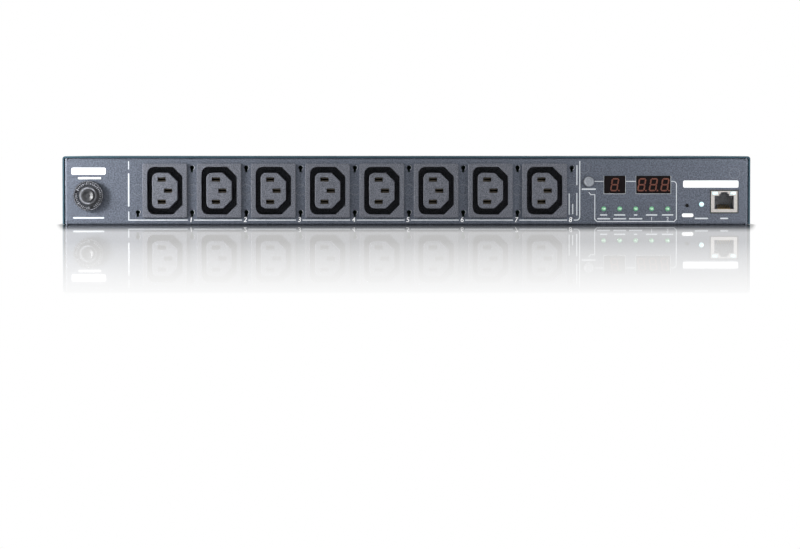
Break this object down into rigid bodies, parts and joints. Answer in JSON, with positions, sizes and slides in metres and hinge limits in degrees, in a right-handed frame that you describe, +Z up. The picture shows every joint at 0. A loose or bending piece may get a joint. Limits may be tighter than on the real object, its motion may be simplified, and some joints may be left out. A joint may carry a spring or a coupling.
{
  "type": "rack power distribution unit",
  "caption": "Flat rack-mounting power distribution unit with a row of appliance outlets, a push-button breaker, segment displays, lamps and a network jack.",
  "frame": {"origin": "middle of the flat underside", "axes": "+X to the right seen from the front, +Y to the rear, +Z up; the outlets face -Y"},
  "size_m": [0.4324, 0.2205, 0.043],
  "materials": {
    "panel_paint": "satin blue-grey paint with a fine grain",
    "cover_paint": "satin dark grey paint with a fine grain",
    "nut_paint": "semi-gloss black paint",
    "steel": "zinc-plated",
    "dark_steel": "black oxide",
    "jack_metal": "bright nickel",
    "brass": "plain brass",
    "gold": "gold-plated",
    "copper": "bare copper",
    "core_steel": "varnished laminations",
    "can_metal": "sleeved can",
    "outlet_plastic": "matt speckled grey",
    "black_plastic": "satin black",
    "black_sheet": "thin black sheet",
    "button_plastic": "satin light grey",
    "display_plastic": "dark tinted",
    "segment_plastic": "unlit red-brown",
    "green_lamp": "green tinted",
    "clear_lamp": "clear, lit blue-white",
    "board_laminate": "green board",
    "lead_cover": "flexible covering",
    "ribbon_cover": "grey flat cable"
  },
  "bodies": {
    "case": {"chassis_base": "panel_paint", "top_cover": "cover_paint", "cover_screws": "dark_steel", "ear_nuts": "steel", "panel_studs": "panel_paint", "breaker_body": "black_plastic", "breaker_nut": "nut_paint", "breaker_washer": "steel", "breaker_terminals": "brass", "button_switches": "black_plastic", "display_small": "display_plastic", "display_large": "display_plastic", "display_segments": "segment_plastic", "status_lamps": "green_lamp", "power_lamp": "clear_lamp", "display_board": "board_laminate", "metering_board": "board_laminate", "current_sensors": "black_plastic", "earth_bus": "copper", "main_board": "board_laminate", "supply_board": "board_laminate", "transformer": "core_steel", "supply_capacitors": "can_metal", "standoffs": "steel", "board_screws": "steel", "insulating_sheet": "black_sheet", "mains_leads": "lead_cover", "ribbon_cable": "ribbon_cover", "lan_shield": "jack_metal", "lan_insert": "black_plastic", "lan_lamps": "clear_lamp", "lan_contacts": "gold", "sensor_contacts": "gold", "inlet_housing": "black_plastic", "inlet_pins": "brass", "inlet_screws": "dark_steel", "rear_nuts": "steel", "ground_screw": "brass", "sensor_jack_1": "black_plastic", "sensor_jack_2": "black_plastic", "outlet_1": "outlet_plastic", "outlet_contacts_1": "brass", "outlet_2": "outlet_plastic", "outlet_contacts_2": "brass", "outlet_3": "outlet_plastic", "outlet_contacts_3": "brass", "outlet_4": "outlet_plastic", "outlet_contacts_4": "brass", "outlet_5": "outlet_plastic", "outlet_contacts_5": "brass", "outlet_6": "outlet_plastic", "outlet_contacts_6": "brass", "outlet_7": "outlet_plastic", "outlet_contacts_7": "brass", "outlet_8": "outlet_plastic", "outlet_contacts_8": "brass"},
    "select": {"select_button": "button_plastic", "select_plunger": "black_plastic"},
    "reset": {"reset_plunger": "black_plastic"},
    "trip_button": {"breaker_button": "black_plastic"}
  },
  "joints": [
    {"name": "select_press", "type": "slide", "parent": "case", "child": "select", "axis": [0, 1, 0], "range_m": [0, 0.0005], "stiffness_N_per_m": 2500},
    {"name": "reset_press", "type": "slide", "parent": "case", "child": "reset", "axis": [0, 1, 0], "range_m": [0, 0.0003], "stiffness_N_per_m": 4000},
    {"name": "breaker_trip", "type": "slide", "parent": "case", "child": "trip_button", "axis": [0, -1, 0], "range_m": [0, 0.004]}
  ]
}
